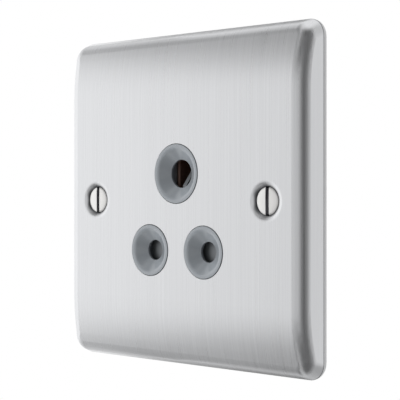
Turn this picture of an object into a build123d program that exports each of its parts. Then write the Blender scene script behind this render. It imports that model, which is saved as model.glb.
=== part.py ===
from build123d import *
from math import cos, radians, sqrt, tan
import os

# Round pin wall socket, in millimetres
# Origin: centre of the plate on the wall plane. +X is right, +Y goes into the wall, +Z is up.

# Front plate, pressed from sheet with leaning side walls
plate_width = 86.0
plate_height = 86.0
plate_depth = 6.1
sheet = 1.2
wall_lean = 20.0
corner_radius = 4.5
edge_radius = 4.0
crown_breadth = 17.0  # of the bent band of the face, to the plate's edge
crown_radius = 55.0  # bend of the face in that band, above and below
crown_sweep = 45.0
turned_away = 0.6  # depth part of a direction, between that of the face and of the walls

# Gasket between the plate's rim and the wall
gasket_thickness = 0.9
gasket_breadth = 4.0

# Fixing screws and the dimples they sit in
fixing_spacing = 60.3
fixing_height = -0.4
dimple_radius = 5.1
dimple_depth = 0.66
seat_radius = 3.55
fixing_hole_gap = 0.15
fixing_thread_radius = 1.75
fixing_neck_radius = 1.55
fixing_neck_end = -2.2  # where the thread starts
fixing_length = 20.0
head_radius = 3.5
head_edge = 0.52  # breadth of the rounded edge, and its height below
head_fall = 0.22
head_rise = 0.06
slot_width = 1.08
slot_depth = 1.0
tip_chamfer = 0.5

# Plug pins and the funnels that guide them
pin_spacing = 19.05
earth_slant = 22.0  # earth pin to either small pin
earth_height = 6.44
line_pin_radius = 2.54
line_pin_length = 14.9
earth_pin_radius = 3.53
earth_pin_length = 20.6
pin_gap = 0.1
line_rim_radius = 6.61
earth_rim_radius = 7.58
lip_width = 1.0
lip_proud = 0.15
lip_inner_round = 1.5
lip_outer_round = 0.1
funnel_depth = 2.2
bore_length = 0.6
room_depth = 1.4  # of the hollow between a bore and the shutter
room_margin = 1.0
rim_gap = 0.16

# Shutter, its ramp and its spring
shutter_thickness = 1.8
slide_gap = 0.15
blade_overlap = 0.5
open_margin = 0.4
stem_width = 10.0
shutter_corner = 0.8
ramp_width = 1.2
ramp_angle = 51.5
ramp_start = 3.0  # below the middle of the earth pin
ramp_setback = 0.6  # of the ramp's nose behind the bore
ramp_land = 0.5
ramp_root = 5.0  # height of the ramp's heel below its foot
travel_gap = 0.3
spring_radius = 1.5  # to the middle of the wire
wire_radius = 0.18
spring_turns = 6.0
spring_pocket_gap = 0.35
spring_room = 2.6  # height left for the spring with the shutter open
spigot_length = 1.6

# Contacts, folded from bronze strip into two jaws and the web between them
strip = 0.8
jaw_gap = 0.06
jaw_bend = 0.8  # to the middle of the strip
jaw_lead_in = 0.35
jaw_margin = 1.3  # jaws past the end of a small pin
earth_jaw_length = 12.5
pocket_fit = 0.15
line_setback = 0.4
earth_setback = 1.2
tail_width = 5.0
tail_setback = 3.0

# Terminals
terminal_width = 8.0
terminal_height = 8.0
terminal_depth = 8.0
terminal_gap = 0.2
terminal_chamfer = 0.4
terminal_step = 1.4  # between a contact's web and its terminal
conductor_radius = 2.0
conductor_floor = 1.2  # metal in front of the conductor
entry_gap = 0.4
rivet_radius = 1.2
thread_gap = 0.05
clamp_radius = 1.75
clamp_head_radius = 2.9
clamp_head_height = 1.8
clamp_backed_out = 0.6

# Mouldings
flange = 2.0
flange_corner = 3.0
tower_wall = 1.8
tray_ledge = 3.5
tray_depth = 4.8
moulding_corner = 2.5
moulding_edge = 0.7
earth_tower_wall = 4.0
rear_wall = 1.6
pin_end_gap = 0.3
insulation_slot = 4.0
insulation_depth = 7.0

# Screws between the two mouldings
cover_screw_inset = 5.5
cover_screw_height = -4.0
cover_screw_radius = 1.35
cover_screw_cover = 1.5  # moulding left in front of the pilot hole
cover_head_radius = 2.6
cover_head_height = 1.7
cover_hole_gap = 0.2

# Studs, washers and nuts behind the plate
stud_offset = 4.6  # outboard of the tray
stud_bottom = -18.0
stud_radius = 1.5
stud_collar_radius = 2.0
stud_collar = 0.5
stud_length = 6.4
stud_hole_gap = 0.2
ear_height = 9.0
ear_reach = 3.6
washer_radius = 3.0
washer_thickness = 0.5
nut_across_flats = 5.5
nut_height = 2.4

# Earth strap
strap_thickness = 0.6
strap_width = 5.0
strap_stand = 0.2  # off the tray's side
strap_bend = 0.8
strap_gap = 0.2

# Depths along Y
y_rim = -gasket_thickness
y_face = y_rim - plate_depth
y_lining = y_face + sheet
y_mouth = y_face - lip_proud
y_throat = y_mouth + funnel_depth
y_room = y_throat + bore_length
y_guide = y_room + room_depth
y_shutter = y_guide + slide_gap
y_shutter_back = y_shutter + shutter_thickness
y_split = y_shutter_back + slide_gap
y_flange = y_lining + flange
y_tray = y_split + tray_depth
y_tail = y_split + tail_setback
y_tail_back = y_tail + strip
y_terminal = y_tail_back + terminal_depth
y_conductor = y_tail_back + conductor_floor + conductor_radius
y_line_end = y_mouth + line_pin_length + jaw_margin
y_earth_end = y_split - earth_setback + earth_jaw_length
y_pin_end = y_mouth + earth_pin_length + pin_end_gap
y_rear = y_pin_end + rear_wall

# Places across the plate
crown_start = plate_height / 2 - crown_breadth
line_bore = line_pin_radius + pin_gap
earth_bore = earth_pin_radius + pin_gap
pin_x = pin_spacing / 2
line_height = earth_height - sqrt(earth_slant**2 - pin_x**2)
small_pins = [(pin_x, line_height), (-pin_x, line_height)]
fixing_x = fixing_spacing / 2
fixings = [(-fixing_x, fixing_height), (fixing_x, fixing_height)]
line_inner = line_pin_radius + jaw_gap
line_outer = line_inner + strip
earth_inner = earth_pin_radius + jaw_gap
earth_outer = earth_inner + strip
line_pocket = 2 * (line_outer + pocket_fit)
earth_pocket = 2 * (earth_outer + pocket_fit)
line_terminal_height = line_height - line_outer - terminal_step - terminal_height / 2
earth_terminal_height = earth_height + earth_outer + terminal_step + terminal_height / 2
terminals = [(pin_x, line_terminal_height), (-pin_x, line_terminal_height), (0, earth_terminal_height)]

# Shutter places: closed at rest, open when the earth pin has pushed it down by its travel
blade_top = line_height + line_bore + blade_overlap
blade_bottom = line_height - line_bore - blade_overlap
blade_half = pin_x + line_bore + blade_overlap
travel = 2 * line_bore + blade_overlap + open_margin
ramp_foot = earth_height - ramp_start
ramp_top = earth_height - earth_pin_radius - pin_gap + travel
ramp_run = (ramp_top - ramp_foot) / tan(radians(ramp_angle))
ramp_heel = ramp_foot - ramp_root
y_nose = y_room + ramp_setback
y_ramp_back = y_nose + ramp_run + ramp_land
stem_top = earth_height - earth_outer - pocket_fit - travel_gap
earth_slit = ramp_width + 2 * travel_gap
y_spring = (y_shutter + y_shutter_back) / 2
spring_floor = blade_bottom - travel - spring_room
spring_pocket = spring_radius + wire_radius + spring_pocket_gap
spigot_radius = spring_radius - wire_radius - spring_pocket_gap

# Outlines of the mouldings
tower_half = pin_x + terminal_width / 2 + terminal_gap + tower_wall
tray_half = tower_half + tray_ledge
tray_top = earth_terminal_height + terminal_height / 2 + terminal_gap + tower_wall
tray_bottom = min(spring_floor, line_terminal_height - terminal_height / 2 - terminal_gap) - tower_wall
tray_height = tray_top - tray_bottom
tray_middle = (tray_top + tray_bottom) / 2
line_tower_top = line_height + line_outer + pocket_fit + tower_wall
earth_tower_bottom = earth_height - earth_outer - pocket_fit - tower_wall
earth_tower_half = terminal_width / 2 + terminal_gap + earth_tower_wall
flange_bottom = max(tray_bottom, -crown_start)
stud_x = tray_half + stud_offset
stud_top = earth_terminal_height
studs = [(x, z) for x in (-stud_x, stud_x) for z in (stud_top, stud_bottom)]
strap_stud = (stud_x, stud_top)
cover_x = tray_half - cover_screw_inset
cover_screws_at = [(-cover_x, cover_screw_height), (cover_x, cover_screw_height)]


# A plane parallel to the wall at depth y, with its normal to the front
def front_plane(y):
    return Plane.XZ.offset(-y)


# An axis along Y through a place on the plate
def depth_axis(x, z):
    return Axis((x, 0, z), (0, 1, 0))


# The plate's pressed form, taken in by an inset: none for the outside, the sheet for the hollow
def pressed_form(inset):
    foot = inset / cos(radians(wall_lean))
    foot_x = plate_width / 2 - foot
    foot_z = plate_height / 2 - foot
    top = y_face + inset
    lean = (y_rim - top) * tan(radians(wall_lean))
    crown = crown_radius - inset
    with BuildPart() as form:
        with BuildSketch(Plane.XY):
            with BuildLine():
                Polyline(
                    (-foot_x, y_rim), (foot_x, y_rim), (foot_x - lean, top), (lean - foot_x, top), close=True
                )
            make_face()
        extrude(amount=plate_height, both=True)
        with BuildSketch(Plane.YZ):
            with BuildLine():
                Polyline(
                    (y_rim, -foot_z), (y_rim, foot_z), (top, foot_z - lean), (top, lean - foot_z), close=True
                )
            make_face()
            with BuildLine():
                upper = CenterArc((top + crown, crown_start), crown, 180 - crown_sweep, crown_sweep)
                Line(upper @ 1, (top, -crown_start))
                lower = CenterArc((top + crown, -crown_start), crown, 180, crown_sweep)
                Line(lower @ 1, upper @ 0)
            make_face(mode=Mode.INTERSECT)
        extrude(amount=plate_width, both=True, mode=Mode.INTERSECT)
        # The corner edges run from front to back, and the walls are turned away from the front
        corners = form.edges().filter_by(lambda edge: abs(edge.tangent_at(0.5).Y) > turned_away)
        fillet(corners, corner_radius - inset)
        fronts = form.faces().filter_by(lambda face: face.normal_at().Y < -turned_away)
        walls = form.faces().filter_by(lambda face: abs(face.normal_at().Y) < turned_away)
        fillet(fronts.edges() & walls.edges(), edge_radius - inset)
    return form.part


outside = pressed_form(0)
hollow = pressed_form(sheet)
y_seat = y_face + dimple_depth
fixing_hole = fixing_thread_radius + fixing_hole_gap
seat_drop = seat_radius - fixing_hole

with BuildPart() as front_plate:
    add(outside)
    add(hollow, mode=Mode.SUBTRACT)
    with BuildSketch(front_plane(y_rim)):
        with Locations(*small_pins):
            Circle(line_rim_radius + rim_gap)
        with Locations((0, earth_height)):
            Circle(earth_rim_radius + rim_gap)
    extrude(amount=plate_depth, mode=Mode.SUBTRACT)
    with BuildSketch(front_plane(y_rim)):
        with Locations(*fixings):
            Circle(dimple_radius)
    extrude(amount=plate_depth, mode=Mode.SUBTRACT)
    for x, z in fixings:
        # Sheet drawn in around the screw: a soft shoulder, then the countersunk seat
        with BuildSketch(Plane.XY.offset(z)):
            with BuildLine():
                shoulder = TangentArc(
                    (x + dimple_radius, y_face), (x + seat_radius, y_seat), tangent=(-1, 0)
                )
                Polyline(
                    (x + seat_radius, y_seat),
                    (x + fixing_hole, y_seat + seat_drop),
                    (x + fixing_hole, y_seat + seat_drop + sheet),
                    (x + seat_radius, y_seat + sheet),
                )
                lining = TangentArc(
                    (x + dimple_radius, y_lining), (x + seat_radius, y_seat + sheet), tangent=(-1, 0)
                )
                Line(lining @ 0, shoulder @ 0)
            make_face()
        revolve(axis=depth_axis(x, z))

with BuildPart() as wall_gasket:
    with BuildSketch(front_plane(0)):
        RectangleRounded(plate_width, plate_height, corner_radius)
        RectangleRounded(
            plate_width - 2 * gasket_breadth,
            plate_height - 2 * gasket_breadth,
            corner_radius,
            mode=Mode.SUBTRACT,
        )
    extrude(amount=gasket_thickness)

with BuildPart() as fixing_screws:
    y_head = y_seat + seat_radius - head_radius
    y_top = y_head - head_fall
    y_neck = y_seat + seat_radius - fixing_neck_radius
    y_tip = y_top + fixing_length
    for x, z in fixings:
        with BuildSketch(Plane.XY.offset(z)):
            with BuildLine():
                crown = TangentArc(
                    (x, y_top - head_rise), (x + head_radius - head_edge, y_top), tangent=(1, 0)
                )
                edge = TangentArc(crown @ 1, (x + head_radius, y_head), tangent=crown % 1)
                Polyline(
                    edge @ 1,
                    (x + fixing_neck_radius, y_neck),
                    (x + fixing_neck_radius, fixing_neck_end),
                    (x + fixing_thread_radius, fixing_neck_end),
                    (x + fixing_thread_radius, y_tip - tip_chamfer),
                    (x + fixing_thread_radius - tip_chamfer, y_tip),
                    (x, y_tip),
                    crown @ 0,
                )
            make_face()
        revolve(axis=depth_axis(x, z))
    with BuildSketch(front_plane(y_top + slot_depth)):
        with Locations(*fixings):
            Rectangle(slot_width, 2 * head_radius)
    extrude(amount=slot_depth + head_rise, mode=Mode.SUBTRACT)

with BuildPart() as socket_front:
    # Flange behind the plate, with an ear for each stud
    with BuildSketch(front_plane(y_flange)):
        with Locations((0, (tray_top + flange_bottom) / 2)):
            RectangleRounded(2 * tray_half, tray_top - flange_bottom, moulding_corner)
        with Locations((0, stud_top), (0, stud_bottom)):
            RectangleRounded(2 * (stud_x + ear_reach), ear_height, flange_corner)
    extrude(amount=y_flange - y_lining)
    # Block that holds the shutter
    with BuildSketch(front_plane(y_split)):
        with Locations((0, tray_middle)):
            RectangleRounded(2 * tray_half, tray_height, moulding_corner)
    extrude(amount=y_split - y_flange)
    # Collars that come through the plate
    with BuildSketch(front_plane(y_lining)):
        with Locations(*small_pins):
            Circle(line_rim_radius)
        with Locations((0, earth_height)):
            Circle(earth_rim_radius)
    extrude(amount=y_lining - y_mouth)
    funnels = [(x, z, line_rim_radius, line_bore) for x, z in small_pins]
    funnels.append((0, earth_height, earth_rim_radius, earth_bore))
    for x, z, rim, bore in funnels:
        with BuildSketch(Plane.XY.offset(z)):
            with BuildLine():
                Polyline(
                    (x, y_mouth),
                    (x + rim - lip_width, y_mouth),
                    (x + bore, y_throat),
                    (x + bore, y_split),
                    (x, y_split),
                    close=True,
                )
            make_face()
        revolve(axis=depth_axis(x, z), mode=Mode.SUBTRACT)
        # The lip's inner edge is the nearest one to the middle of the mouth, and the next is the outer
        for nearest, edge_round in enumerate((lip_inner_round, lip_outer_round)):
            lip_edges = socket_front.edges().group_by(Axis.Y)[0].sort_by_distance((x, y_mouth, z))
            fillet(lip_edges[nearest], edge_round)
    # Hollows behind the bores, and the way down for the front of the ramp
    with BuildSketch(front_plane(y_guide)):
        with Locations(*small_pins):
            Circle(line_bore + room_margin)
        with Locations((0, earth_height)):
            Rectangle(earth_pocket, earth_pocket)
            Rectangle(
                earth_slit,
                earth_height - ramp_heel + travel + travel_gap,
                align=(Align.CENTER, Align.MAX),
            )
    extrude(amount=y_guide - y_room, mode=Mode.SUBTRACT)
    # Room for the shutter and its travel, and for the front of the earth jaws
    with BuildSketch(front_plane(y_split)):
        with Locations((0, blade_top)):
            Rectangle(
                2 * (blade_half + slide_gap),
                blade_top - blade_bottom + travel + travel_gap,
                align=(Align.CENTER, Align.MAX),
            )
            Rectangle(
                stem_width + 2 * slide_gap, stem_top + travel_gap - blade_top, align=(Align.CENTER, Align.MIN)
            )
        with Locations((0, earth_height)):
            Rectangle(earth_pocket, earth_pocket)
            Rectangle(earth_slit, earth_height - stem_top, align=(Align.CENTER, Align.MAX))
    extrude(amount=y_split - y_guide, mode=Mode.SUBTRACT)
    with Locations((0, y_spring, spring_floor)):
        Cylinder(
            spring_pocket,
            blade_bottom - spring_floor,
            align=(Align.CENTER, Align.CENTER, Align.MIN),
            mode=Mode.SUBTRACT,
        )
    # Pilot holes for the cover screws, and holes for the studs and their collars
    with BuildSketch(front_plane(y_split)):
        with Locations(*cover_screws_at):
            Circle(cover_screw_radius + thread_gap)
    extrude(amount=y_split - y_lining - cover_screw_cover, mode=Mode.SUBTRACT)
    with BuildSketch(front_plane(y_flange)):
        with Locations(*studs):
            Circle(stud_radius + stud_hole_gap)
    extrude(amount=flange, mode=Mode.SUBTRACT)
    with BuildSketch(front_plane(y_lining + stud_collar + stud_hole_gap)):
        with Locations(*studs):
            Circle(stud_collar_radius + stud_hole_gap)
    extrude(amount=stud_collar + stud_hole_gap, mode=Mode.SUBTRACT)

with BuildPart() as safety_shutter:
    with BuildSketch(front_plane(y_shutter_back)):
        with Locations((0, (blade_top + blade_bottom) / 2)):
            RectangleRounded(2 * blade_half, blade_top - blade_bottom, shutter_corner)
        with Locations((0, (stem_top + blade_bottom) / 2)):
            RectangleRounded(stem_width, stem_top - blade_bottom, shutter_corner)
    extrude(amount=shutter_thickness)
    with BuildSketch(Plane.YZ):
        with BuildLine():
            Polyline(
                (y_nose, ramp_heel),
                (y_nose, ramp_foot),
                (y_nose + ramp_run, ramp_top),
                (y_ramp_back, ramp_top),
                (y_ramp_back, ramp_heel),
                close=True,
            )
        make_face()
    extrude(amount=ramp_width / 2, both=True)
    with Locations((0, y_spring, blade_bottom)):
        Cylinder(spigot_radius, spigot_length, align=(Align.CENTER, Align.CENTER, Align.MAX))

with BuildPart() as shutter_spring:
    rise = blade_bottom - spring_floor - 2 * wire_radius
    start = Vector(spring_radius, y_spring, spring_floor + wire_radius)
    with BuildLine():
        coil = Helix(
            rise / spring_turns, rise, spring_radius, center=(0, y_spring, spring_floor + wire_radius)
        )
    with BuildSketch(Plane(start, x_dir=(1, 0, 0), z_dir=coil % 0)):
        Circle(wire_radius)
    sweep(path=coil, is_frenet=True)


# A contact: two jaws that grip a pin from the sides, the web between them and the tail out from the web
def contact(x, z, inner, front, end, tail_end):
    middle = inner + strip / 2
    toward = 1 if tail_end > z else -1
    tail_start = z + toward * (inner + strip / 4)
    with BuildPart() as folded:
        with BuildSketch(front_plane(end)):
            with BuildLine():
                FilletPolyline(
                    (x - middle, z - toward * inner),
                    (x - middle, z + toward * middle),
                    (x + middle, z + toward * middle),
                    (x + middle, z - toward * inner),
                    radius=jaw_bend,
                )
            trace(line_width=strip)
        extrude(amount=end - front)
        mouth = folded.faces().sort_by(Axis.Y)[0].edges().filter_by(Axis.Z)
        inner_edges = mouth.sort_by(lambda edge: abs(edge.center().X - x))[:2]
        chamfer(inner_edges, jaw_lead_in)
        with BuildSketch(front_plane(y_tail_back)):
            with Locations((x, (tail_start + tail_end) / 2)):
                Rectangle(tail_width, abs(tail_end - tail_start))
            with Locations((x, z + toward * (inner + strip + terminal_step + terminal_height / 2))):
                Circle(rivet_radius + thread_gap, mode=Mode.SUBTRACT)
        extrude(amount=strip)
    return folded.part


# A pillar terminal: a brass block with a conductor hole along Z, a clamping thread and a rivet at the front
def pillar_terminal(x, z, rivet_front):
    with BuildPart() as pillar:
        with BuildSketch(front_plane(y_terminal)):
            with Locations((x, z)):
                Rectangle(terminal_width, terminal_height)
        extrude(amount=terminal_depth)
        chamfer(pillar.edges(), terminal_chamfer)
        with BuildSketch(front_plane(y_tail_back)):
            with Locations((x, z)):
                Circle(rivet_radius)
        extrude(amount=y_tail_back - rivet_front)
        with BuildSketch(Plane.XY.offset(z)):
            with Locations((x, y_conductor)):
                Circle(conductor_radius)
        extrude(amount=terminal_height, both=True, mode=Mode.SUBTRACT)
        with BuildSketch(front_plane(y_terminal)):
            with Locations((x, z)):
                Circle(clamp_radius + thread_gap)
        extrude(amount=y_terminal - y_conductor, mode=Mode.SUBTRACT)
    return pillar.part


y_line_front = y_split + line_setback
y_earth_front = y_split - earth_setback
line_tail_end = line_terminal_height - terminal_height / 2 + terminal_chamfer
earth_tail_end = earth_terminal_height + terminal_height / 2 - terminal_chamfer
line_part = contact(pin_x, line_height, line_inner, y_line_front, y_line_end, line_tail_end)
neutral_part = contact(-pin_x, line_height, line_inner, y_line_front, y_line_end, line_tail_end)
earth_part = contact(0, earth_height, earth_inner, y_earth_front, y_earth_end, earth_tail_end)
line_pillar = pillar_terminal(pin_x, line_terminal_height, y_tail)
neutral_pillar = pillar_terminal(-pin_x, line_terminal_height, y_tail)
earth_pillar = pillar_terminal(0, earth_terminal_height, y_tail - strap_thickness)

with BuildPart() as terminal_screws:
    y_clamp_tip = y_conductor + conductor_radius
    y_clamp_head = y_terminal + clamp_backed_out
    with BuildSketch(front_plane(y_clamp_head)):
        with Locations(*terminals):
            Circle(clamp_radius)
    extrude(amount=y_clamp_head - y_clamp_tip)
    with BuildSketch(front_plane(y_clamp_head + clamp_head_height)):
        with Locations(*terminals):
            Circle(clamp_head_radius)
    extrude(amount=clamp_head_height)
    with BuildSketch(front_plane(y_clamp_head + clamp_head_height)):
        with Locations(*terminals):
            Rectangle(2 * clamp_head_radius, slot_width)
    extrude(amount=slot_depth, mode=Mode.SUBTRACT)

with BuildPart() as rear_base:
    with BuildSketch(front_plane(y_tray)):
        with Locations((0, tray_middle)):
            RectangleRounded(2 * tray_half, tray_height, moulding_corner)
    extrude(amount=tray_depth)
    # Towers behind the small pins and behind the earth pin
    with BuildSketch(front_plane(y_rear)):
        with Locations((0, (tray_bottom + line_tower_top) / 2)):
            RectangleRounded(2 * tower_half, line_tower_top - tray_bottom, moulding_corner)
        with Locations((0, (tray_top + earth_tower_bottom) / 2)):
            RectangleRounded(2 * earth_tower_half, tray_top - earth_tower_bottom, moulding_corner)
    extrude(amount=y_rear - y_tray)
    fillet(rear_base.faces().sort_by(Axis.Y)[-2:].edges(), moulding_edge)
    # Slot that keeps line and neutral apart
    with BuildSketch(front_plane(y_rear)):
        with Locations((0, tray_bottom)):
            Rectangle(insulation_slot, line_tower_top - tray_bottom, align=(Align.CENTER, Align.MIN))
    extrude(amount=insulation_depth, mode=Mode.SUBTRACT)
    # Pockets for the jaws, and room for the end of the earth pin
    with BuildSketch(front_plane(y_line_end)):
        with Locations(*small_pins):
            Rectangle(line_pocket, line_pocket)
    extrude(amount=y_line_end - y_split, mode=Mode.SUBTRACT)
    with BuildSketch(front_plane(y_earth_end)):
        with Locations((0, earth_height)):
            Rectangle(earth_pocket, earth_pocket)
    extrude(amount=y_earth_end - y_split, mode=Mode.SUBTRACT)
    with BuildSketch(front_plane(y_pin_end)):
        with Locations((0, earth_height)):
            Circle(earth_pin_radius + pin_end_gap)
    extrude(amount=y_pin_end - y_split, mode=Mode.SUBTRACT)
    # Slots for the tails, from each web to the far end of its terminal
    with BuildSketch(front_plane(y_tail_back)):
        for x, z in small_pins:
            with Locations((x, z)):
                Rectangle(
                    tail_width + 2 * pocket_fit,
                    z - line_tail_end + pocket_fit,
                    align=(Align.CENTER, Align.MAX),
                )
        with Locations((0, earth_height)):
            Rectangle(
                tail_width + 2 * pocket_fit,
                earth_tail_end - earth_height + pocket_fit,
                align=(Align.CENTER, Align.MIN),
            )
    extrude(amount=y_tail_back - y_split, mode=Mode.SUBTRACT)
    # Room for the ramp and its travel
    with BuildSketch(front_plane(y_ramp_back + travel_gap)):
        with Locations((0, ramp_top + travel_gap)):
            Rectangle(
                earth_slit, ramp_top - ramp_heel + travel + 2 * travel_gap, align=(Align.CENTER, Align.MAX)
            )
    extrude(amount=y_ramp_back + travel_gap - y_split, mode=Mode.SUBTRACT)
    with Locations((0, y_spring, spring_floor)):
        Cylinder(
            spring_pocket,
            blade_bottom - spring_floor,
            align=(Align.CENTER, Align.CENTER, Align.MIN),
            mode=Mode.SUBTRACT,
        )
    # Channel for the earth strap, open to the front and to one side
    with BuildSketch(front_plane(y_tail)):
        with Locations((-tail_width / 2 - pocket_fit, stud_top)):
            Rectangle(
                tray_half + strap_stand + tail_width,
                strap_width + 2 * strap_gap,
                align=(Align.MIN, Align.CENTER),
            )
    extrude(amount=y_tail - y_split, mode=Mode.SUBTRACT)
    # Wells for the terminals, open to the rear, and the way in for each conductor
    with BuildSketch(front_plane(y_rear)):
        with Locations(*terminals):
            Rectangle(terminal_width + 2 * terminal_gap, terminal_height + 2 * terminal_gap)
    extrude(amount=y_rear - y_tail_back, mode=Mode.SUBTRACT)
    entry = conductor_radius + entry_gap
    for x, z in terminals:
        end = tray_top if z > 0 else tray_bottom
        with BuildSketch(Plane.XY.offset(z)):
            with Locations((x, y_conductor)):
                Circle(entry)
                Rectangle(2 * entry, y_rear - y_conductor, align=(Align.CENTER, Align.MIN))
        extrude(amount=end - z, mode=Mode.SUBTRACT)
    with BuildSketch(front_plane(y_tray)):
        with Locations(*cover_screws_at):
            Circle(cover_screw_radius + cover_hole_gap)
    extrude(amount=tray_depth, mode=Mode.SUBTRACT)
    # Way in for the heads, past the tower behind the small pins
    with BuildSketch(front_plane(y_rear)):
        with Locations(*cover_screws_at):
            Circle(cover_head_radius + cover_hole_gap)
    extrude(amount=y_rear - y_tray, mode=Mode.SUBTRACT)

with BuildPart() as cover_screws:
    y_cover_tip = y_lining + cover_screw_cover + thread_gap
    with BuildSketch(front_plane(y_tray)):
        with Locations(*cover_screws_at):
            Circle(cover_screw_radius)
    extrude(amount=y_tray - y_cover_tip)
    with BuildSketch(front_plane(y_tray + cover_head_height)):
        with Locations(*cover_screws_at):
            Circle(cover_head_radius)
    extrude(amount=cover_head_height)
    fillet(cover_screws.faces().sort_by(Axis.Y)[-2:].edges(), cover_head_height / 2)
    with BuildSketch(front_plane(y_tray + cover_head_height)):
        with Locations(*cover_screws_at):
            Rectangle(2 * cover_head_radius, slot_width)
    extrude(amount=slot_depth, mode=Mode.SUBTRACT)

with BuildPart() as plate_studs:
    with BuildSketch(front_plane(y_lining + stud_collar)):
        with Locations(*studs):
            Circle(stud_collar_radius)
    extrude(amount=stud_collar)
    with BuildSketch(front_plane(y_lining + stud_length)):
        with Locations(*studs):
            Circle(stud_radius)
    extrude(amount=stud_length)

with BuildPart() as plate_washers:
    for place in studs:
        base = y_flange + strap_thickness if place == strap_stud else y_flange
        with BuildSketch(front_plane(base + washer_thickness)):
            with Locations(place):
                Circle(washer_radius)
                Circle(stud_radius + thread_gap, mode=Mode.SUBTRACT)
        extrude(amount=washer_thickness)

with BuildPart() as plate_nuts:
    for place in studs:
        base = y_flange + strap_thickness if place == strap_stud else y_flange
        with BuildSketch(front_plane(base + washer_thickness + nut_height)):
            with Locations(place):
                RegularPolygon(nut_across_flats / 2, 6, major_radius=False)
                Circle(stud_radius + thread_gap, mode=Mode.SUBTRACT)
        extrude(amount=nut_height)

with BuildPart() as earth_strap:
    riser = tray_half + strap_stand + strap_thickness / 2
    y_run = y_tail - strap_thickness / 2
    y_foot = y_flange + strap_thickness / 2
    with BuildSketch(Plane.XY.offset(stud_top)):
        with BuildLine():
            FilletPolyline(
                (stud_x + washer_radius, y_foot),
                (riser, y_foot),
                (riser, y_run),
                (-tail_width / 2, y_run),
                radius=strap_bend,
            )
        trace(line_width=strap_thickness)
    extrude(amount=strap_width / 2, both=True)
    with BuildSketch(front_plane(y_tail)):
        with Locations(strap_stud):
            Circle(stud_radius + stud_hole_gap)
        with Locations((0, earth_terminal_height)):
            Circle(rivet_radius + thread_gap)
    extrude(amount=y_tail - y_flange, mode=Mode.SUBTRACT)

pieces = {
    "front_plate": front_plate.part,
    "wall_gasket": wall_gasket.part,
    "fixing_screws": fixing_screws.part,
    "socket_front": socket_front.part,
    "safety_shutter": safety_shutter.part,
    "shutter_spring": shutter_spring.part,
    "line_contact": line_part,
    "neutral_contact": neutral_part,
    "earth_contact": earth_part,
    "line_terminal": line_pillar,
    "neutral_terminal": neutral_pillar,
    "earth_terminal": earth_pillar,
    "terminal_screws": terminal_screws.part,
    "rear_base": rear_base.part,
    "cover_screws": cover_screws.part,
    "plate_studs": plate_studs.part,
    "plate_washers": plate_washers.part,
    "plate_nuts": plate_nuts.part,
    "earth_strap": earth_strap.part,
}
os.makedirs("parts", exist_ok=True)
for name, piece in pieces.items():
    piece.label = name
    export_step(piece, f"parts/{name}.step")
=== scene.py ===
import math
import bmesh
import bpy
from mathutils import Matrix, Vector


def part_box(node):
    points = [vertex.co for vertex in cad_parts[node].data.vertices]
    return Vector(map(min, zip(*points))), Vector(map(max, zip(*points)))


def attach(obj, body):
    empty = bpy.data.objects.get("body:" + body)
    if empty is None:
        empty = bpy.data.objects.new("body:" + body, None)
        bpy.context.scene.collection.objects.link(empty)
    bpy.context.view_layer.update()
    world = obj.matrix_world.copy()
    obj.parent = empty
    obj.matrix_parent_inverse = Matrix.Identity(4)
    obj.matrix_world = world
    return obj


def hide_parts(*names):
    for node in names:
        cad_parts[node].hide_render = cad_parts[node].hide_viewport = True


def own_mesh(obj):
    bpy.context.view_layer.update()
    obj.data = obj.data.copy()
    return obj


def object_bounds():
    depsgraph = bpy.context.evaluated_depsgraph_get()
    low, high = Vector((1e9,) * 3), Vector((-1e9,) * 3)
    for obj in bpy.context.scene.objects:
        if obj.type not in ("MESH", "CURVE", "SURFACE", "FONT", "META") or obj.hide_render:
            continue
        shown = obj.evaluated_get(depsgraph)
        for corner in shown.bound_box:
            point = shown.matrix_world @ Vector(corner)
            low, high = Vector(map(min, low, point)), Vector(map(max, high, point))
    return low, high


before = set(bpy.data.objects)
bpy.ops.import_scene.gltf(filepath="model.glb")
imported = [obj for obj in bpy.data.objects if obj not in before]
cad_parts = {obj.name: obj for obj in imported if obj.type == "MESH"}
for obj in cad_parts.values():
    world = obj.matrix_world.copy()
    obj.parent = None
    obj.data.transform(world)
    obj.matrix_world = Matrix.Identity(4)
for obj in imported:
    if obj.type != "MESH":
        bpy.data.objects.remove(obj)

cadLow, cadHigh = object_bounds()
mm = 0.001
weldDistance = 1e-7  # metres, closes the seams of a mesh
scene = bpy.context.scene
print("frame loaded:", len(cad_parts), "nodes")


def linear(hexColour):
    channels = [int(hexColour[i : i + 2], 16) / 255 for i in (1, 3, 5)]
    return tuple(c / 12.92 if c <= 0.04045 else ((c + 0.055) / 1.055) ** 2.4 for c in channels) + (1.0,)


def addNode(owner, kind, settings=None, links=None):
    # kind is a type of node, or the name of a node that is there already
    tree = owner.node_tree
    node = tree.nodes.get(kind) or tree.nodes.new(kind)
    for name, value in (settings or {}).items():
        if isinstance(name, int) or name in node.inputs:
            node.inputs[name].default_value = value
        else:
            setattr(node, name, value)
    for name, source in (links or {}).items():
        tree.links.new(source, node.inputs[name])
    return node


# sockets of a Mix node, whose names repeat: for colours, and then for plain values
mixFactor, mixColourA, mixColourB, mixedColour = 0, 6, 7, 2
mixValueA, mixValueB, mixedValue = 2, 3, 0


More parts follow.
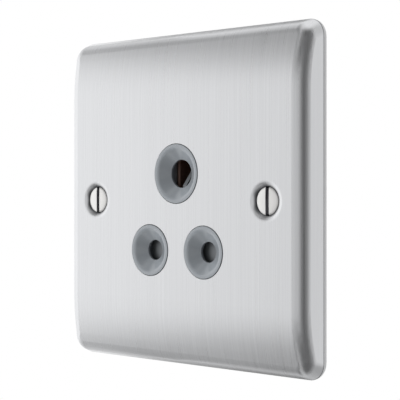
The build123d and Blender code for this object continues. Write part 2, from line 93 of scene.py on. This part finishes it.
def newFinish(name, look):
    # a material from its values: one pattern that moves its colour, its roughness and its relief
    material = bpy.data.materials.new(name)
    material.use_nodes = True
    place = addNode(material, "ShaderNodeTexCoord")
    scale = [1 / (size * mm) for size in look["grainMm"]]  # lumps of this size along X, Y and Z
    scaled = addNode(material, "ShaderNodeMapping", {"Scale": scale}, {"Vector": place.outputs["Object"]})
    noise = addNode(
        material,
        "ShaderNodeTexNoise",
        {"Scale": 1.0, "Detail": look["detail"]},
        {"Vector": scaled.outputs["Vector"]},
    )
    pattern = noise.outputs["Fac"]
    colour = addNode(
        material,
        "ShaderNodeMix",
        {"data_type": "RGBA", mixColourA: linear(look["dark"]), mixColourB: linear(look["light"])},
        {mixFactor: pattern},
    )
    smooth, dull = look["roughness"]
    gloss = addNode(material, "ShaderNodeMapRange", {"To Min": smooth, "To Max": dull}, {"Value": pattern})
    relief = addNode(
        material,
        "ShaderNodeBump",
        {"Strength": look["relief"], "Distance": look["reliefMm"] * mm},
        {"Height": pattern},
    )
    shader = addNode(
        material,
        "Principled BSDF",
        {"Metallic": look["metallic"]},
        {
            "Base Color": colour.outputs[mixedColour],
            "Roughness": gloss.outputs["Result"],
            "Normal": relief.outputs["Normal"],
        },
    )
    if "ior" in look:  # a metal keeps the default
        shader.inputs["IOR"].default_value = look["ior"]
    return material


# Stainless steel sheet, brushed from top to bottom: fine upright lines that smear reflections sideways
plateSteel = {
    "dark": "#d6d7d9",
    "light": "#eeeff1",
    "metallic": 1.0,
    "roughness": (0.24, 0.34),
    "anisotropy": 0.7,
    "grainMm": (0.28, 4.0, 60.0),  # real lines are about 0.05 wide, drawn coarser so that they show
    "detail": 3.0,
    "relief": 0.14,
    "reliefMm": 0.004,
    "rim": "#66676b",  # painted shade: the dull sheared edge, painted darker for the shade line along the rim
    "rimShadeMm": (-1.15, -0.95),  # where that starts and is full, along Y
    "seat": "#5c5d61",  # painted shade round the screw heads, for the shadowed gap between head and dimple
    "seatMm": (3.5, 4.2),  # from the edge of a head outwards
    "seatDepthMm": (-5.8, -6.1),  # where that starts and is full, so that the back stays unshaded
}
stainlessBrushed = newFinish("stainlessSteelBrushed", plateSteel)
place = addNode(stainlessBrushed, "Texture Coordinate")
spot = addNode(stainlessBrushed, "ShaderNodeSeparateXYZ", {}, {"Vector": place.outputs["Object"]})
depth = spot.outputs["Y"]
# painted shade: the plate turns darker towards its back edge, at the wall
rimShadeStart, rimShadeEnd = [v * mm for v in plateSteel["rimShadeMm"]]
rim = addNode(
    stainlessBrushed, "ShaderNodeMapRange", {"From Min": rimShadeStart, "From Max": rimShadeEnd}, {"Value": depth}
)
rimShaded = addNode(
    stainlessBrushed,
    "ShaderNodeMix",
    {"data_type": "RGBA", mixColourB: linear(plateSteel["rim"])},
    {mixFactor: rim.outputs["Result"], mixColourA: addNode(stainlessBrushed, "Mix").outputs[mixedColour]},
)
# painted shade: a dark ring round each screw head, on the front of the plate only
low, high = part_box("fixing_screws")
seatStart, seatEnd = [v * mm for v in plateSteel["seatMm"]]
screwX = high.x - seatStart  # the box of the screws ends at the edge of a head
level = addNode(
    stainlessBrushed,
    "ShaderNodeMapping",
    {"Location": (0, 0, -(low.z + high.z) / 2), "Scale": (1, 0, 1)},
    {"Vector": place.outputs["Object"]},
)
halved = addNode(stainlessBrushed, "ShaderNodeVectorMath", {"operation": "ABSOLUTE"}, {0: level.outputs[0]})
fromScrew = addNode(
    stainlessBrushed,
    "ShaderNodeVectorMath",
    {"operation": "DISTANCE", 1: (screwX, 0, 0)},
    {0: halved.outputs[0]},
)
nearScrew = addNode(
    stainlessBrushed,
    "ShaderNodeMapRange",
    {"From Min": seatEnd, "From Max": seatStart},
    {"Value": fromScrew.outputs["Value"]},
)
seatBack, seatFront = [v * mm for v in plateSteel["seatDepthMm"]]
inFront = addNode(
    stainlessBrushed, "ShaderNodeMapRange", {"From Min": seatBack, "From Max": seatFront}, {"Value": depth}
)
shaded = addNode(
    stainlessBrushed,
    "ShaderNodeMath",
    {"operation": "MULTIPLY"},
    {0: nearScrew.outputs["Result"], 1: inFront.outputs["Result"]},
)
seated = addNode(
    stainlessBrushed,
    "ShaderNodeMix",
    {"data_type": "RGBA", mixColourB: linear(plateSteel["seat"])},
    {mixFactor: shaded.outputs[0], mixColourA: rimShaded.outputs[mixedColour]},
)
across = addNode(stainlessBrushed, "ShaderNodeTangent", {"direction_type": "RADIAL", "axis": "Z"})
addNode(
    stainlessBrushed,
    "Principled BSDF",
    {"Anisotropic": plateSteel["anisotropy"]},
    {"Base Color": seated.outputs[mixedColour], "Tangent": across.outputs["Tangent"]},
)

# Closed-cell foam, die cut: pale and dull, with small pores
gasketFoam = {
    "dark": "#e4e5e6",
    "light": "#f0f1f2",
    "metallic": 0.0,
    "ior": 1.5,
    "roughness": (0.75, 0.85),
    "grainMm": (0.25, 0.25, 0.25),
    "detail": 2.0,
    "relief": 0.5,
    "reliefMm": 0.06,
}
foamDieCut = newFinish("foamDieCut", gasketFoam)

# Polycarbonate, moulded in a polished tool: mid grey with a clear gloss
greyMoulding = {
    "dark": "#8f9499",
    "light": "#979ca1",
    "metallic": 0.0,
    "ior": 1.58,
    "roughness": (0.07, 0.13),
    "grainMm": (0.12, 0.12, 0.12),
    "detail": 2.0,
    "relief": 0.1,
    "reliefMm": 0.004,
}
polycarbonateGrey = newFinish("polycarbonateMoulded", greyMoulding)

# Acetal, moulded: a slippery grey with a dull sheen
shutterAcetal = {
    "dark": "#6e7174",
    "light": "#777a7d",
    "metallic": 0.0,
    "ior": 1.48,
    "roughness": (0.38, 0.46),
    "grainMm": (0.2, 0.2, 0.2),
    "detail": 2.0,
    "relief": 0.2,
    "reliefMm": 0.01,
}
acetalMoulded = newFinish("acetalMoulded", shutterAcetal)

# Nylon, moulded: off-white, a little waxy, with flow marks
baseNylon = {
    "dark": "#d5d3cc",
    "light": "#e2e0da",
    "metallic": 0.0,
    "ior": 1.53,
    "roughness": (0.4, 0.56),
    "grainMm": (6.0, 3.0, 9.0),
    "detail": 6.0,
    "relief": 0.1,
    "reliefMm": 0.02,
}
nylonMoulded = newFinish("nylonMoulded", baseNylon)

# Nickel plate on cold-headed steel: bright and a little warm, with faint marks from the header
screwNickel = {
    "dark": "#f3f2f0",
    "light": "#faf9f8",
    "metallic": 1.0,
    "roughness": (0.36, 0.48),
    "grainMm": (0.3, 0.3, 0.3),
    "detail": 2.0,
    "relief": 0.1,
    "reliefMm": 0.004,
    "recessShade": "#b0b0b4",  # painted shade in the slot and under the edge of the head
    "recessShadeMm": (-6.42, -6.32),  # where that starts and is full, along Y
    "neckMm": (-4.2, -4.6),  # where the unshaded neck ends, and the head starts
}
nickelPlated = newFinish("steelNickelPlated", screwNickel)
place = addNode(nickelPlated, "Texture Coordinate")
spot = addNode(nickelPlated, "ShaderNodeSeparateXYZ", {}, {"Vector": place.outputs["Object"]})
depth = spot.outputs["Y"]
# painted shade: the slot and the underside of the head turn darker
recessStart, recessEnd = [v * mm for v in screwNickel["recessShadeMm"]]
recessShade = addNode(
    nickelPlated, "ShaderNodeMapRange", {"From Min": recessStart, "From Max": recessEnd}, {"Value": depth}
)
neckStart, neckEnd = [v * mm for v in screwNickel["neckMm"]]
front = addNode(
    nickelPlated, "ShaderNodeMapRange", {"From Min": neckStart, "From Max": neckEnd}, {"Value": depth}
)
recessShadeMask = addNode(
    nickelPlated,
    "ShaderNodeMath",
    {"operation": "MULTIPLY"},
    {0: recessShade.outputs["Result"], 1: front.outputs["Result"]},
)
recessShaded = addNode(
    nickelPlated,
    "ShaderNodeMix",
    {"data_type": "RGBA", mixColourB: linear(screwNickel["recessShade"])},
    {mixFactor: recessShadeMask.outputs[0], mixColourA: addNode(nickelPlated, "Mix").outputs[mixedColour]},
)
addNode(nickelPlated, "Principled BSDF", {}, {"Base Color": recessShaded.outputs[mixedColour]})

# Phosphor bronze strip, rolled: reddish brown with rolling lines along Y
stripBronze = {
    "dark": "#94796e",
    "light": "#b39386",
    "metallic": 1.0,
    "roughness": (0.45, 0.6),
    "grainMm": (0.2, 6.0, 0.2),
    "detail": 2.0,
    "relief": 0.1,
    "reliefMm": 0.004,
}
bronzeRolled = newFinish("phosphorBronzeRolled", stripBronze)

# Brass bar, sawn and drilled: paler yellow with cutter marks
blockBrass = {
    "dark": "#cda960",
    "light": "#e8cb8a",
    "metallic": 1.0,
    "roughness": (0.27, 0.37),
    "grainMm": (0.25, 3.0, 3.0),
    "detail": 2.0,
    "relief": 0.2,
    "reliefMm": 0.01,
}
brassMachined = newFinish("brassMachined", blockBrass)

# Zinc plate on steel: cool grey with a cloudy spangle
fastenerZinc = {
    "dark": "#b2b8bd",
    "light": "#d2d6d9",
    "metallic": 1.0,
    "roughness": (0.26, 0.42),
    "grainMm": (0.8, 0.8, 0.8),
    "detail": 4.0,
    "relief": 0.1,
    "reliefMm": 0.004,
}
zincPlated = newFinish("steelZincPlated", fastenerZinc)

# Spring wire, drawn: dark bright grey with streaks along the wire
wireSteel = {
    "dark": "#949492",
    "light": "#bcbcba",
    "metallic": 1.0,
    "roughness": (0.22, 0.3),
    "grainMm": (0.5, 0.5, 0.08),
    "detail": 2.0,
    "relief": 0.1,
    "reliefMm": 0.004,
}
springDrawn = newFinish("springSteelDrawn", wireSteel)

finishes = {
    "front_plate": stainlessBrushed,
    "wall_gasket": foamDieCut,
    "fixing_screws": nickelPlated,
    "socket_front": polycarbonateGrey,
    "safety_shutter": acetalMoulded,
    "shutter_spring": springDrawn,
    "line_contact": bronzeRolled,
    "neutral_contact": bronzeRolled,
    "earth_contact": bronzeRolled,
    "line_terminal": brassMachined,
    "neutral_terminal": brassMachined,
    "earth_terminal": brassMachined,
    "terminal_screws": zincPlated,
    "rear_base": nylonMoulded,
    "cover_screws": zincPlated,
    "plate_studs": zincPlated,
    "plate_washers": zincPlated,
    "plate_nuts": zincPlated,
    "earth_strap": bronzeRolled,
}
for node, finish in finishes.items():
    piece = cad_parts[node]
    piece.data.materials.clear()
    piece.data.materials.append(finish)
print("materials:", len(set(finishes.values())))


def newPiece(name, bm, finish, node, sharpAngle):
    mesh = bpy.data.meshes.new(name)
    bmesh.ops.recalc_face_normals(bm, faces=bm.faces)
    bm.to_mesh(mesh)
    bm.free()
    mesh.shade_smooth()
    mesh.set_sharp_from_angle(angle=math.radians(sharpAngle))
    mesh.materials.append(finish)
    piece = bpy.data.objects.new(name, mesh)
    scene.collection.objects.link(piece)
    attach(piece, "socket")
    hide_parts(node)
    print("piece:", name, len(mesh.polygons), "faces")
    return piece


def joinRings(bm, rings):
    # quads between neighbouring rings of the same count
    for near, far in zip(rings, rings[1:]):
        count = len(near)
        for i in range(count):
            bm.faces.new((near[i], near[(i + 1) % count], far[(i + 1) % count], far[i]))


def ring(bm, x, z, y, radii):
    count = len(radii)
    places = [(r, 2 * math.pi * i / count) for i, r in enumerate(radii)]
    return [bm.verts.new((x + r * math.cos(a), y, z + r * math.sin(a))) for r, a in places]


def threadedRod(bm, x, z, start, end, rod):
    # a rod along Y whose radius follows a helix, with a run-out at its start and a pointed end
    root, major, tip, pitch = [rod[name] * mm for name in ("neckMm", "majorMm", "tipMm", "pitchMm")]
    around = rod["around"]
    depth = pitch * rod["depthOfPitch"]
    steps = int((end - start) / pitch * rod["perTurn"])
    rings = [ring(bm, x, z, start, [root] * around)]
    for step in range(1, steps + 1):
        y = start + (end - start) * step / steps
        limit = min(root + (y - start), major, major - tip + (end - y))
        radii = []
        for i in range(around):
            phase = (y / pitch - i / around) % 1
            crest = min(1, rod["flank"] * (1 - abs(2 * phase - 1)))
            radii.append(min(limit, major - depth * (1 - crest)))
        rings.append(ring(bm, x, z, y, radii))
    joinRings(bm, rings)
    bm.faces.new(rings[-1])


# Fixing screws: the head and neck as they are, with a cut thread on the shank
fixingScrew = {
    "headMm": 3.5,  # a radius, as are the next two
    "neckMm": 1.55,
    "majorMm": 1.75,
    "threadStartMm": -2.3,  # along Y
    "pitchMm": 0.6,
    "depthOfPitch": 0.55,
    "flank": 1.25,  # over 1 leaves the crests flat
    "tipMm": 0.5,
    "around": 40,
    "perTurn": 8,
    "sharpAngle": 35,
}
low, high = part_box("fixing_screws")
threadStart = fixingScrew["threadStartMm"] * mm
bm = bmesh.new()
bm.from_mesh(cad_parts["fixing_screws"].data)
bmesh.ops.remove_doubles(bm, verts=bm.verts, dist=weldDistance)
bmesh.ops.bisect_plane(
    bm,
    geom=bm.verts[:] + bm.edges[:] + bm.faces[:],
    plane_co=(0, threadStart, 0),
    plane_no=(0, 1, 0),
    clear_outer=True,
)
screwX = high.x - fixingScrew["headMm"] * mm
screwZ = (low.z + high.z) / 2
for x in (-screwX, screwX):
    threadedRod(bm, x, screwZ, threadStart, high.y, fixingScrew)
newPiece("fixingScrewsThreaded", bm, nickelPlated, "fixing_screws", fixingScrew["sharpAngle"])

# Plate studs: a welded collar and a threaded end
plateStud = {
    "collarMm": 2.0,  # a radius, as are the next two
    "neckMm": 1.25,
    "majorMm": 1.5,
    "collarHeightMm": 0.5,
    "pitchMm": 0.5,
    "depthOfPitch": 0.55,
    "flank": 1.25,
    "tipMm": 0.3,
    "around": 36,
    "perTurn": 8,
    "sharpAngle": 35,
}
low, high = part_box("plate_studs")
collarRadius = plateStud["collarMm"] * mm
collarTop = low.y + plateStud["collarHeightMm"] * mm
collar = [collarRadius] * plateStud["around"]
neck = [plateStud["neckMm"] * mm] * plateStud["around"]
studX = high.x - collarRadius
studPlaces = [(x, z) for x in (-studX, studX) for z in (low.z + collarRadius, high.z - collarRadius)]
bm = bmesh.new()
for x, z in studPlaces:
    base = ring(bm, x, z, low.y, collar)
    bm.faces.new(base)
    joinRings(bm, [base, ring(bm, x, z, collarTop, collar), ring(bm, x, z, collarTop, neck)])
    threadedRod(bm, x, z, collarTop, high.y, plateStud)
bmesh.ops.remove_doubles(bm, verts=bm.verts, dist=weldDistance)
newPiece("plateStudsThreaded", bm, zincPlated, "plate_studs", plateStud["sharpAngle"])

# Plate nuts: hexagons with both faces turned to a cone
plateNut = {
    "sides": 6,
    "acrossFlatsMm": 5.5,
    "boreMm": 1.55,  # a radius
    "heightMm": 2.4,
    "coneAngle": 30.0,
    "faceOfFlats": 0.93,  # the flat face's part of the size across flats
    "perSide": 8,
    "sharpAngle": 25,
}
low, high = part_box("plate_nuts")
count = plateNut["sides"] * plateNut["perSide"]
sideAngle = 360 / plateNut["sides"]
flat = plateNut["acrossFlatsMm"] / 2 * mm
height = plateNut["heightMm"] * mm
offMiddle = [360 * i / count % sideAngle - sideAngle / 2 for i in range(count)]  # of a side
corners = [flat / math.cos(math.radians(angle)) for angle in offMiddle]
face = [flat * plateNut["faceOfFlats"]] * count
bore = [plateNut["boreMm"] * mm] * count
drops = [(corner - face[0]) * math.tan(math.radians(plateNut["coneAngle"])) for corner in corners]
bm = bmesh.new()
for x, z in studPlaces:
    strapped = x > 0 and z > 0  # this nut stands on the earth strap
    base = high.y - height if strapped else low.y
    rings = [
        ring(bm, x, z, base, bore),
        ring(bm, x, z, base, face),
        ring(bm, x, z, base, corners),
        ring(bm, x, z, base + height, corners),
        ring(bm, x, z, base + height, face),
        ring(bm, x, z, base + height, bore),
    ]
    for vert, drop in zip(rings[2], drops):
        vert.co.y += drop
    for vert, drop in zip(rings[3], drops):
        vert.co.y -= drop
    joinRings(bm, rings + [rings[0]])
newPiece("plateNutsHex", bm, zincPlated, "plate_nuts", plateNut["sharpAngle"])

# Shutter spring: an open coil that closes up at each end
shutterCoil = {
    "wireMm": 0.18,  # a radius
    "turns": 6.0,
    "closedTurns": 0.8,  # at each end
    "perTurn": 40,
    "around": 12,
    "travelMm": 6.18,
    "sharpAngle": 60,
}
low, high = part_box("shutter_spring")
wire = shutterCoil["wireMm"] * mm
coilRadius = (high.x - low.x) / 2 - wire
middleY = (low.y + high.y) / 2
turns = shutterCoil["turns"]
closed = shutterCoil["closedTurns"]
steps = int(turns * shutterCoil["perTurn"])
closedRise = 2 * wire * closed
rise = high.z - low.z - 2 * wire
bm = bmesh.new()
rings = []
for step in range(steps + 1):
    turn = turns * step / steps
    openShare = min(1, max(0, (turn - closed) / (turns - 2 * closed)))
    endRise = closedRise * (min(turn, closed) + max(0, turn - turns + closed)) / closed
    height = low.z + wire + endRise + (rise - 2 * closedRise) * openShare
    angle = 2 * math.pi * turn
    outward = Vector((math.cos(angle), math.sin(angle), 0))
    centre = Vector((0, middleY, height)) + outward * coilRadius
    loop = []
    for i in range(shutterCoil["around"]):
        a = 2 * math.pi * i / shutterCoil["around"]
        lift = Vector((0, 0, wire * math.sin(a)))
        loop.append(bm.verts.new(centre + outward * wire * math.cos(a) + lift))
    rings.append(loop)
joinRings(bm, rings)
bm.faces.new(rings[0])
bm.faces.new(rings[-1])
coil = newPiece(
    "shutterSpringCoil", bm, springDrawn, "shutter_spring", shutterCoil["sharpAngle"]
)
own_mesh(coil)

# Studio: light panels on the left, above and behind, with dark gaps between them
# A pair gives the part of a direction at which a panel starts and is full, a level how bright it then is
studio = {
    "gap": 0.10,  # what the gaps still give
    "left": (0.60, 0.34),  # sideways
    "brighten": (-0.58, -0.80),  # where the left panel grows brighter towards the side
    "brightenLevel": (0.63, 1.38),
    "fall": (-0.84, -0.97),  # and where it falls off again
    "fallLevel": 0.84,
    "leftHeight": (0.50, 0.32),  # up or down
    "leftFoot": (-0.12, 0.06),  # the left panel's lower half is a little weaker
    "leftFootLevel": 0.96,
    "veil": (0.33, 0.50),  # a dimmer light above and below the left panel
    "veilSide": (-0.60, -0.78),  # grows brighter towards the side
    "veilLevel": (0.0, 0.8),
    "canopy": (0.20, 0.36),  # the same in front of the plate
    "canopySide": (-0.46, -0.32),
    "canopyFall": (-0.25, 0.05),  # and where it falls off towards the right
    "canopyLevel": (0.60, 0.03),
    "overhead": (0.48, 0.74),  # up
    "slant": (0.17, -0.26),  # how the left panel narrows and the overhead one recedes towards the front
    "slantSpan": (-0.74, -0.54),
    "right": (0.90, 0.99),  # sideways
    "rightLevel": 0.25,
    "back": (-0.28, 0.30),  # into the wall
    "flagSide": (-0.20, -0.40),  # a dark flag that hides the middle of the back wall on the left
    "flagRise": (0.66, 0.58),
    "below": (-0.22, -0.55),  # the back wall darkens towards the floor
    "belowLevel": 0.62,
    "most": 1.3,  # no panel is brighter
    "background": 1.0,  # what the camera sees, white
}
world = bpy.data.worlds.new("studio")
scene.world = world
world.use_nodes = True
direction = addNode(world, "ShaderNodeTexCoord")
parts = addNode(world, "ShaderNodeSeparateXYZ", {}, {"Vector": direction.outputs["Generated"]})
sideways, inward, upward = parts.outputs
upright = addNode(world, "ShaderNodeMath", {"operation": "ABSOLUTE"}, {0: upward})  # up or down
slantStart, slantEnd = studio["slantSpan"]
toFront = addNode(
    world, "ShaderNodeMapRange", {"From Min": slantStart, "From Max": slantEnd}, {"Value": sideways}
).outputs["Result"]
leftSlant, overheadSlant = studio["slant"]
leftRise = addNode(
    world,
    "ShaderNodeMath",
    {"operation": "MULTIPLY_ADD", 1: leftSlant},
    {0: toFront, 2: upright.outputs[0]},
)
overheadRise = addNode(
    world, "ShaderNodeMath", {"operation": "MULTIPLY_ADD", 1: overheadSlant}, {0: toFront, 2: upward}
)
darkToLit = (0, 1)
panels = {}
for name, source, levels in (
    ("left", sideways, darkToLit),
    ("brighten", sideways, studio["brightenLevel"]),
    ("fall", sideways, (1, studio["fallLevel"])),
    ("leftHeight", leftRise.outputs[0], darkToLit),
    ("veil", upright.outputs[0], darkToLit),
    ("veilSide", sideways, studio["veilLevel"]),
    ("canopy", upright.outputs[0], darkToLit),
    ("canopySide", sideways, darkToLit),
    ("canopyFall", sideways, studio["canopyLevel"]),
    ("overhead", overheadRise.outputs[0], darkToLit),
    ("leftFoot", upward, (studio["leftFootLevel"], 1)),
    ("right", sideways, (0, studio["rightLevel"])),
    ("back", inward, darkToLit),
    ("flagSide", sideways, darkToLit),
    ("flagRise", upright.outputs[0], darkToLit),
    ("below", upward, (1, studio["belowLevel"])),
):
    start, end = studio[name]
    panels[name] = addNode(
        world,
        "ShaderNodeMapRange",
        {
            "interpolation_type": "SMOOTHSTEP",
            "From Min": start,
            "From Max": end,
            "To Min": levels[0],
            "To Max": levels[1],
        },
        {"Value": source},
    ).outputs["Result"]
for name, operation, first, second in (
    ("left", "MULTIPLY", "left", "brighten"),
    ("left", "MULTIPLY", "left", "fall"),
    ("left", "MULTIPLY", "left", "leftHeight"),
    ("left", "MULTIPLY", "left", "leftFoot"),
    ("veil", "MULTIPLY", "veil", "veilSide"),
    ("canopy", "MULTIPLY", "canopy", "canopySide"),
    ("canopy", "MULTIPLY", "canopy", "canopyFall"),
    ("veil", "MAXIMUM", "veil", "canopy"),
    ("overhead", "MAXIMUM", "overhead", "veil"),
    ("front", "ADD", "left", "overhead"),
    ("back", "MULTIPLY", "back", "below"),
    ("flag", "MULTIPLY", "flagSide", "flagRise"),
    ("back", "SUBTRACT", "back", "flag"),
    ("room", "MAXIMUM", "right", "back"),
    ("room", "MAXIMUM", "room", "front"),
):
    pair = {0: panels[first], 1: panels[second]}
    panels[name] = addNode(world, "ShaderNodeMath", {"operation": operation}, pair).outputs[0]
lifted = addNode(
    world, "ShaderNodeMapRange", {"To Min": studio["gap"], "clamp": False}, {"Value": panels["room"]}
)
held = addNode(
    world, "ShaderNodeMath", {"operation": "MINIMUM", 1: studio["most"]}, {0: lifted.outputs["Result"]}
)
path = addNode(world, "ShaderNodeLightPath")
seen = addNode(
    world,
    "ShaderNodeMix",
    {"data_type": "FLOAT", mixValueB: studio["background"]},
    {mixFactor: path.outputs["Is Camera Ray"], mixValueA: held.outputs[0]},
)
addNode(world, "Background", {"Color": (1, 1, 1, 1)}, {"Strength": seen.outputs[mixedValue]})

# Key light: a large soft panel to the left that the metal doesn't mirror
keyLight = {"sizeM": 0.8, "powerW": 8.0, "place": (-0.55, -0.85, 0.05)}
lampData = bpy.data.lights.new("keyLight", "AREA")
lampData.size = keyLight["sizeM"]
lampData.energy = keyLight["powerW"]
lamp = bpy.data.objects.new("keyLight", lampData)
lamp.location = keyLight["place"]
lamp.rotation_euler = (-Vector(keyLight["place"])).to_track_quat("-Z", "Y").to_euler()
lamp.visible_glossy = False
scene.collection.objects.link(lamp)
print("studio: panels and key light set")

# Floor: a pale round table below the socket that fades into the room
# Board, painted with a roller: white and dull, with a faint orange peel
table = {
    "radiusM": 0.4,
    "edges": 96,
    "dropM": 0.36,  # below the plate
    "fadeM": (0.25, 0.39),  # from the middle
    "dark": "#efefef",
    "light": "#f5f5f5",
    "metallic": 0.0,
    "ior": 1.5,
    "roughness": (0.65, 0.75),
    "grainMm": (3.0, 3.0, 3.0),
    "detail": 2.0,
    "relief": 0.1,
    "reliefMm": 0.05,
}
paintedBoard = newFinish("boardPaintedWhite", table)
place = addNode(paintedBoard, "Texture Coordinate")
fromCentre = addNode(
    paintedBoard, "ShaderNodeVectorMath", {"operation": "LENGTH"}, {0: place.outputs["Object"]}
)
fadeStart, fadeEnd = table["fadeM"]
rim = addNode(
    paintedBoard,
    "ShaderNodeMapRange",
    {"interpolation_type": "SMOOTHSTEP", "From Min": fadeStart, "From Max": fadeEnd},
    {"Value": fromCentre.outputs["Value"]},
)
shader = addNode(paintedBoard, "Principled BSDF")
clear = addNode(paintedBoard, "ShaderNodeBsdfTransparent")
fading = addNode(
    paintedBoard,
    "ShaderNodeMixShader",
    {},
    {0: rim.outputs["Result"], 1: shader.outputs[0], 2: clear.outputs[0]},
)
addNode(paintedBoard, "Material Output", {}, {"Surface": fading.outputs[0]})
bpy.ops.mesh.primitive_circle_add(
    vertices=table["edges"],
    radius=table["radiusM"],
    fill_type="NGON",
    location=(0, 0, cadLow.z - table["dropM"]),
)
floor = bpy.context.object
floor.name = "floorTable"
floor.visible_glossy = False  # the metal mirrors the studio alone
floor.data.materials.append(paintedBoard)
print("floor:", floor.name)

# Camera: level, a little over forty degrees to the right of the plate's axis
photoCamera = {
    "placeMm": (226.8, -237.7, 2.3),
    "turn": 43.42,  # degrees
    "focalPixels": 1266.2,
    "framePixels": 400,
    "risePixels": 10.15,  # the horizon stands this far above the middle of the frame
    "sensorMm": 36.0,
    "nearMm": 10.0,
}
cameraData = bpy.data.cameras.new("photoCamera")
cameraData.sensor_width = photoCamera["sensorMm"]
cameraData.lens = photoCamera["focalPixels"] / photoCamera["framePixels"] * photoCamera["sensorMm"]
cameraData.shift_y = -photoCamera["risePixels"] / photoCamera["framePixels"]
cameraData.clip_start = photoCamera["nearMm"] * mm
camera = bpy.data.objects.new("photoCamera", cameraData)
camera.location = [v * mm for v in photoCamera["placeMm"]]
camera.rotation_euler = (math.radians(90), 0, math.radians(photoCamera["turn"]))
scene.collection.objects.link(camera)
scene.camera = camera
scene.view_settings.view_transform = "Standard"
print("camera: lens", round(cameraData.lens, 1), "mm")
